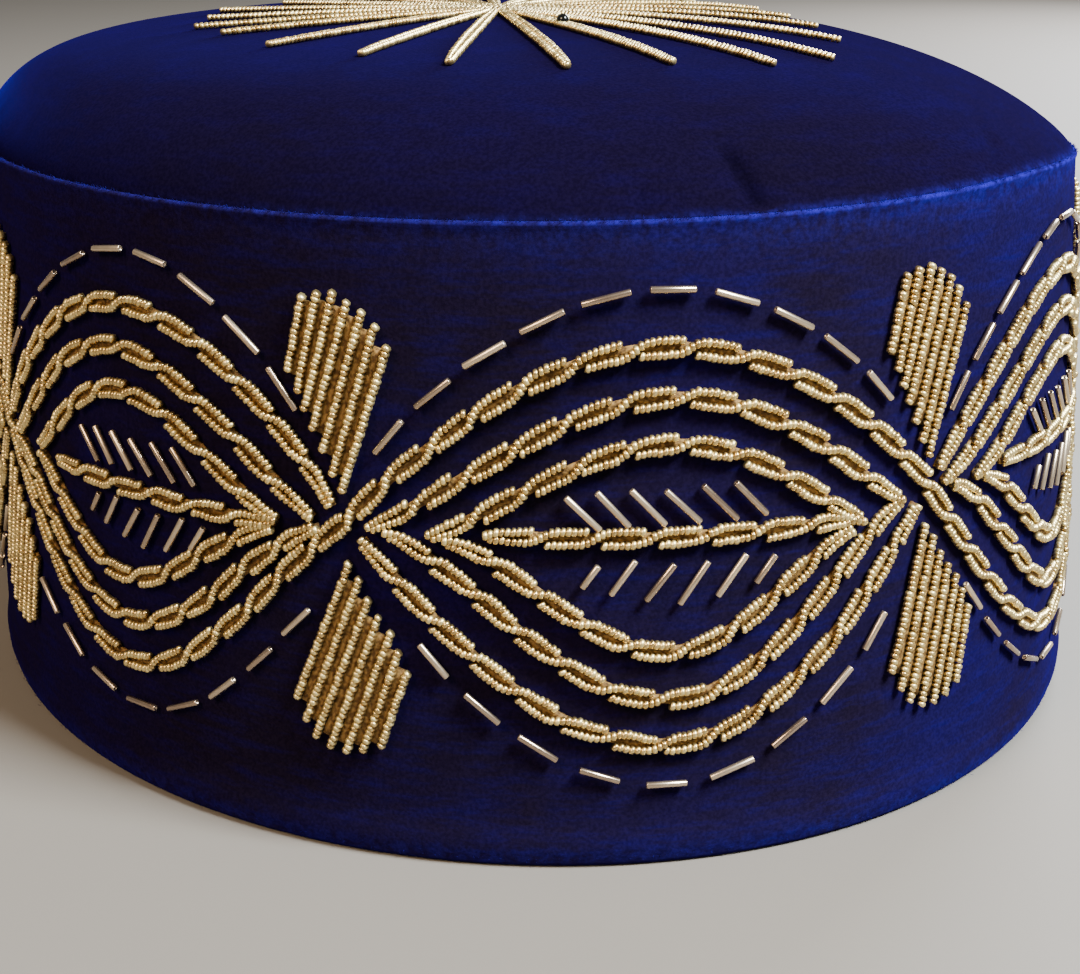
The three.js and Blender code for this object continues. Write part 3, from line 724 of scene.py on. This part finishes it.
# The eyes in turn round the cap. top and low stretch the two halves of a drawing, and wave is the half
# whose outer rope belongs to the one that runs on over the crossings. sway is how far the tip of the
# crossing's lower petal hangs to one side.
eyes = [
    {"girth": -157.0, "height": 47.5, "drawing": "tall",
     "top": 1.0, "low": 1.0, "wave": "outerLow", "sway": 0.0},
    {"girth": -84.6, "height": 47.9, "drawing": "long",
     "top": 1.0, "low": 1.0, "wave": "outerTop", "sway": -1.4},
    {"girth": -4.4, "height": 48.4, "drawing": "long",
     "top": 1.0, "low": 1.05, "wave": "outerLow", "sway": 1.4},
    {"girth": 67.0, "height": 48.0, "drawing": "long",
     "top": 1.03, "low": 0.97, "wave": "outerTop", "sway": 0.3},
    {"girth": 137.8, "height": 47.6, "drawing": "tall",
     "top": 0.98, "low": 1.0, "wave": "outerLow", "sway": -0.5},
    {"girth": 210.2, "height": 48.3, "drawing": "long",
     "top": 1.0, "low": 0.99, "wave": "outerTop", "sway": 0.6},
    {"girth": 282.6, "height": 48.0, "drawing": "tall",
     "top": 0.97, "low": 1.0, "wave": "outerLow", "sway": -0.2},
    {"girth": 354.0, "height": 47.7, "drawing": "long",
     "top": 1.02, "low": 1.0, "wave": "outerTop", "sway": 0.4},
]
knot = {"x": 1.9, "z": 1.7}    # how far from a crossing the outer rope that rests starts and ends


def onEye(eye, x, z):
    # a place of the eye's drawing on the chart of the whole band
    share = x / drawings[eye["drawing"]]["width"]
    following = eyes[(eyes.index(eye) + 1) % len(eyes)]
    width = (following["girth"] - eye["girth"]) % wholeGirth
    stretch = np.where(np.asarray(z) > 0, eye["top"], eye["low"])
    return np.stack([eye["girth"] + share * width,
                     eye["height"] + (following["height"] - eye["height"]) * share + z * stretch], -1)


def archPath(eye, name):
    # straight from end to end, plus rise * sin(pi * leant t) ^ power
    arch = drawings[eye["drawing"]][name]
    t = np.linspace(0, 1, 241)
    leant = t + arch["lean"] * t * (1 - t)
    start, end, rise = np.array(arch["from"], float), np.array(arch["to"], float), arch["rise"]
    if name.startswith("outer") and name != eye["wave"]:
        side = math.copysign(knot["z"], rise)
        start, end, rise = start + [knot["x"], side], end + [-knot["x"], side], rise - side
    x, z = (start + (end - start) * t[:, None]).T
    return onEye(eye, x, z + rise * np.maximum(np.sin(math.pi * leant), 0) ** arch["power"])


# The leaf's bugles, by their ends, in the long drawing
leafBugles = [
    {"foot": (32.9, 0.4), "head": (28.6, 4.8)},
    {"foot": (36.6, 0.7), "head": (32.5, 5.4)},
    {"foot": (41.2, 0.7), "head": (36.8, 5.5)},
    {"foot": (45.7, 0.7), "head": (41.2, 5.2)},
    {"foot": (50.6, 0.6), "head": (46.0, 5.5)},
    {"foot": (54.6, 0.8), "head": (50.3, 5.5)},
    {"foot": (32.7, -4.4), "head": (30.6, -7.3)},
    {"foot": (37.4, -3.9), "head": (34.2, -8.4)},
    {"foot": (42.4, -4.7), "head": (38.7, -9.4)},
    {"foot": (46.8, -4.7), "head": (43.0, -10.2)},
    {"foot": (51.9, -4.3), "head": (48.0, -9.6)},
    {"foot": (55.9, -4.9), "head": (53.2, -8.4)},
]

# Rows of seed beads in the two petals of a crossing: places of a row's ends from the crossing
petals = {
    "petal_top": [
        {"low": (-7.5, 19.4), "high": (-4.9, 29.4)},
        {"low": (-6.2, 16.8), "high": (-2.8, 30.0)},
        {"low": (-5.2, 14.5), "high": (-0.6, 30.1)},
        {"low": (-4.2, 12.0), "high": (1.3, 29.2)},
        {"low": (-2.9, 9.2), "high": (3.2, 28.0)},
        {"low": (-1.6, 6.3), "high": (4.9, 26.4)},
        {"low": (-0.4, 4.2), "high": (6.5, 23.8)},
    ],
    "petal_low": [
        {"low": (-7.0, -25.8), "high": (0.0, -5.2)},
        {"low": (-5.5, -28.9), "high": (1.5, -7.2)},
        {"low": (-4.0, -31.1), "high": (2.9, -9.8)},
        {"low": (-1.8, -32.3), "high": (4.3, -12.2)},
        {"low": (0.5, -32.6), "high": (6.0, -14.2)},
        {"low": (2.8, -32.2), "high": (7.2, -16.8)},
        {"low": (5.3, -31.0), "high": (8.5, -19.6)},
    ],
}

# A lower petal is turned by its sway about the height at which it is held, from there down to its tip
petalHold, petalDrop = -12.0, 20.0

# The bugles of a dashed arch: how long they are, and how far that and their headings vary
dashes = {"length": 5.9, "spread": 0.35, "turn": 0.03}


def petalRows(eye):
    # the ends of all rows of a crossing's two petals, on the chart
    crossing = np.array([eye["girth"], eye["height"]])
    ends = np.array([[row["low"], row["high"]] for name in petals for row in petals[name]])
    ends[..., 0] += np.where(ends[..., 1] < 0, eye["sway"] * (petalHold - ends[..., 1]) / petalDrop, 0)
    return crossing + ends


def buglesBetween(starts, ends):
    # a bugle from each start to its end on the chart, as long as the way between them
    place = (starts + ends) / 2
    way = ends - starts
    point, along, up, out = bandFrame(place[:, 0], place[:, 1])
    thread = way[:, :1] * along + way[:, 1:] * up
    size = np.ones((len(place), 3)) + rng.normal(0, 0.03, (len(place), 1))
    size[:, 2] = np.hypot(*way.T) / beads["bugleLength"]
    return copyShape("bugle", point + beads["bugleLift"] * out, thread, out, size)


def dashBugles(path, count):
    # bugles laid end to end along a path, with equal spaces between them
    pitch = (pathLength(path) - dashes["length"]) / (count - 1)
    x, z, heading = walkPath(path, dashes["length"] / 2 + np.arange(count) * pitch)
    heading = heading + rng.normal(0, dashes["turn"], count)
    half = (dashes["length"] + rng.normal(0, dashes["spread"], count)) / 2
    way = np.stack([np.cos(heading) * half, np.sin(heading) * half], 1)
    middle = np.stack([x, z], 1)
    return buglesBetween(middle - way, middle + way)


def makeWave():
    path = np.concatenate([archPath(eye, eye["wave"])[:-1] for eye in eyes])
    path = np.concatenate([path, path[:1] + [wholeGirth, 0]])
    addPiece("wave_beads", [ropeSeeds(path, closed=True)], seedGold, ["wave"])
    # the strip under the wave: thread with painted shade between its strands
    addPiece("wave_thread_and_shade", [threadAndShadeStrip(path)], threadAndGapShade)


def makeEye(eye, number):
    drawing = drawings[eye["drawing"]]
    names = ["middleTop", "innerTop", "innerLow", "middleLow"]
    names.append("outerLow" if eye["wave"] == "outerTop" else "outerTop")
    paths = [archPath(eye, name) for name in names]
    paths.append(onEye(eye, *np.linspace(drawing["rib"]["from"], drawing["rib"]["to"], 30).T))
    rows = petalRows(eye)
    seeds = [ropeSeeds(path) for path in paths] + [seedLine(low, high) for low, high in rows]
    addPiece(f"seeds_{number}", seeds, seedGold,
             [f"{name}_{number}" for name in ("ropes", "inner", "petal_top", "petal_low")])

    stretch, shift = [drawing["width"] / drawings["long"]["width"], 1], [0, drawing["bugleShift"]]
    feet, heads = [onEye(eye, *(np.array([row[end] for row in leafBugles]) * stretch + shift).T)
                   for end in ("foot", "head")]
    bugles = [buglesBetween(feet, heads)]
    bugles += [dashBugles(archPath(eye, name), drawing[name]["count"]) for name in ("dashTop", "dashLow")]
    addPiece(f"bugles_{number}", bugles, bugleGold,
             [f"{name}_{number}" for name in ("leaf", "dash_top", "dash_low")])
    threadsAndShade = [threadAndShadeStrip(path) for path in paths]
    # thread with painted shade shows between neighbouring rows of one petal too
    share = np.linspace(strip["from"], strip["to"], 12)[:, None]
    for first, second in zip(rows, rows[1:]):
        low, high = [(first[end] + second[end]) / 2 for end in (0, 1)]
        if np.hypot(*(first[0] - second[0])) < strip["widestGap"]:
            threadsAndShade.append(threadAndShadeStrip(low + (high - low) * share))
    addPiece(f"threads_{number}", threadsAndShade, threadAndGapShade)


makeWave()
for number, eye in enumerate(eyes, 1):
    makeEye(eye, number)
print("band beadwork done")


# The star on the crown: rays of two strands round a middle a little behind the cap's own

star = {"middle": (0.2, 4.8), "from": 4.6, "apart": 0.12, "waist": 0.6, "lift": 0.55, "boss": 4.4,
        "size": 0.82, "pitch": 0.76, "crystal": (-6.0, -20.5)}
rays = [
    {"azimuth": -114, "reach": 50},
    {"azimuth": -100, "reach": 47.9},
    {"azimuth": -78, "reach": 50.8},
    {"azimuth": -57.5, "reach": 53.7},
    {"azimuth": -43, "reach": 59.1},
    {"azimuth": -28, "reach": 62.4},
    {"azimuth": -14, "reach": 62.1},
    {"azimuth": -1, "reach": 66},
    {"azimuth": 11, "reach": 65.6},
    {"azimuth": 29, "reach": 58.3},
    {"azimuth": 47, "reach": 53},
    {"azimuth": 63, "reach": 51},
    {"azimuth": 80, "reach": 52.5},
    {"azimuth": 96.5, "reach": 50},
    {"azimuth": 113, "reach": 53.5},
    {"azimuth": 129, "reach": 51.5},
    {"azimuth": 146, "reach": 54},
    {"azimuth": 162, "reach": 50.5},
    {"azimuth": 179, "reach": 52},
    {"azimuth": 196, "reach": 49.5},
    {"azimuth": 213, "reach": 52.5},
    {"azimuth": 230, "reach": 49},
]


def seedsOnCrown(x, y, turn):
    # seed beads at places in plan round the star's middle, leaning a little from the azimuth turn
    point, out = crownFrame(star["middle"][0] + x, star["middle"][1] + y)
    leant = turn + beads["slant"]
    thread = np.stack([np.sin(leant), -np.cos(leant), np.zeros(len(x))], -1)
    thread = thread - out * (thread * out).sum(-1, keepdims=True)
    return copyShape("seed", point + star["lift"] * out, thread, out, seedSizes(len(x)) * star["size"])


def makeStar():
    shapes = []
    for ray in rays:
        turn = math.radians(ray["azimuth"])
        count = int((ray["reach"] - star["from"]) / star["pitch"])
        run = np.linspace(star["from"], ray["reach"], count)
        # the strands part towards the ray's middle and close again at its tip
        swell = np.maximum(np.sin(math.pi * np.linspace(0, 1, count)), 0) ** 0.5
        half = star["apart"] + (star["waist"] - star["apart"]) * swell
        for strand in (-1, 1):
            side = strand * half + rng.normal(0, 0.05, count)
            x = run * math.sin(turn) + side * math.cos(turn)
            y = -run * math.cos(turn) + side * math.sin(turn)
            shapes.append(seedsOnCrown(x, y, np.full(count, turn)))
    for radius in np.arange(0.55, star["boss"], 1.05):
        count = int(2 * math.pi * radius / star["pitch"])
        turn = np.linspace(0, 2 * math.pi, count, endpoint=False)
        shapes.append(seedsOnCrown(radius * np.sin(turn), -radius * np.cos(turn), turn + math.pi / 2))
    addPiece("star_beads", shapes, seedGold, ["star"])
    # one dark cut bead beside a ray
    point, out = crownFrame(*np.array(star["crystal"])[:, None])
    crystal = copyShape("crystal", point + out, np.array([[1.0, 0, 0]]), out, 1)
    addPiece("dark_bead", [crystal], darkGlass)


makeStar()
print("star done")


# Floor and studio light

def addFloor():
    size = 1.6    # half a side, in metres
    mesh = bpy.data.meshes.new("floor")
    corners = [(-size, -size, 0), (size, -size, 0), (size, size, 0), (-size, size, 0)]
    mesh.from_pydata(corners, [], [(0, 1, 2, 3)])
    material, nodes, links, shader = newMaterial("floor")
    shader.inputs["Base Color"].default_value = (0.140, 0.123, 0.102, 1)
    shader.inputs["Roughness"].default_value = 0.7
    mesh.materials.append(material)
    floor = bpy.data.objects.new("floor", mesh)
    bpy.context.scene.collection.objects.link(floor)


# azimuth and height in degrees round the cap, distance and size in metres
lights = [
    {"name": "key", "azimuth": 20, "height": 50, "distance": 1.1, "size": 0.35, "power": 70.0,
     "colour": (0.83, 0.92, 1.0)},
    {"name": "fill", "azimuth": -80, "height": 42, "distance": 1.1, "size": 0.4, "power": 12.5,
     "colour": (1.0, 0.74, 0.50)},
    {"name": "back", "azimuth": 110, "height": 19, "distance": 1.2, "size": 0.5, "power": 27.0,
     "colour": (0.88, 0.92, 1.0)},
]


def addLights():
    for light in lights:
        data = bpy.data.lights.new(light["name"], "AREA")
        data.energy = light["power"]
        data.size = light["size"]
        data.color = light["colour"]
        piece = bpy.data.objects.new(light["name"], data)
        side, rise = math.radians(light["azimuth"]), math.radians(light["height"])
        place = Vector((math.cos(rise) * math.sin(side), -math.cos(rise) * math.cos(side), math.sin(rise)))
        turned = (-place).to_track_quat("-Z", "Y").to_matrix().to_4x4()
        piece.matrix_world = Matrix.Translation(place * light["distance"] + Vector((0, 0, 0.05))) @ turned
        bpy.context.scene.collection.objects.link(piece)
    world = bpy.data.worlds.new("studio")
    world.use_nodes = True
    world.node_tree.nodes["Background"].inputs["Color"].default_value = (1.0, 0.95, 0.86, 1)
    world.node_tree.nodes["Background"].inputs["Strength"].default_value = 0.32
    bpy.context.scene.world = world


addFloor()
addLights()
print("stage done")
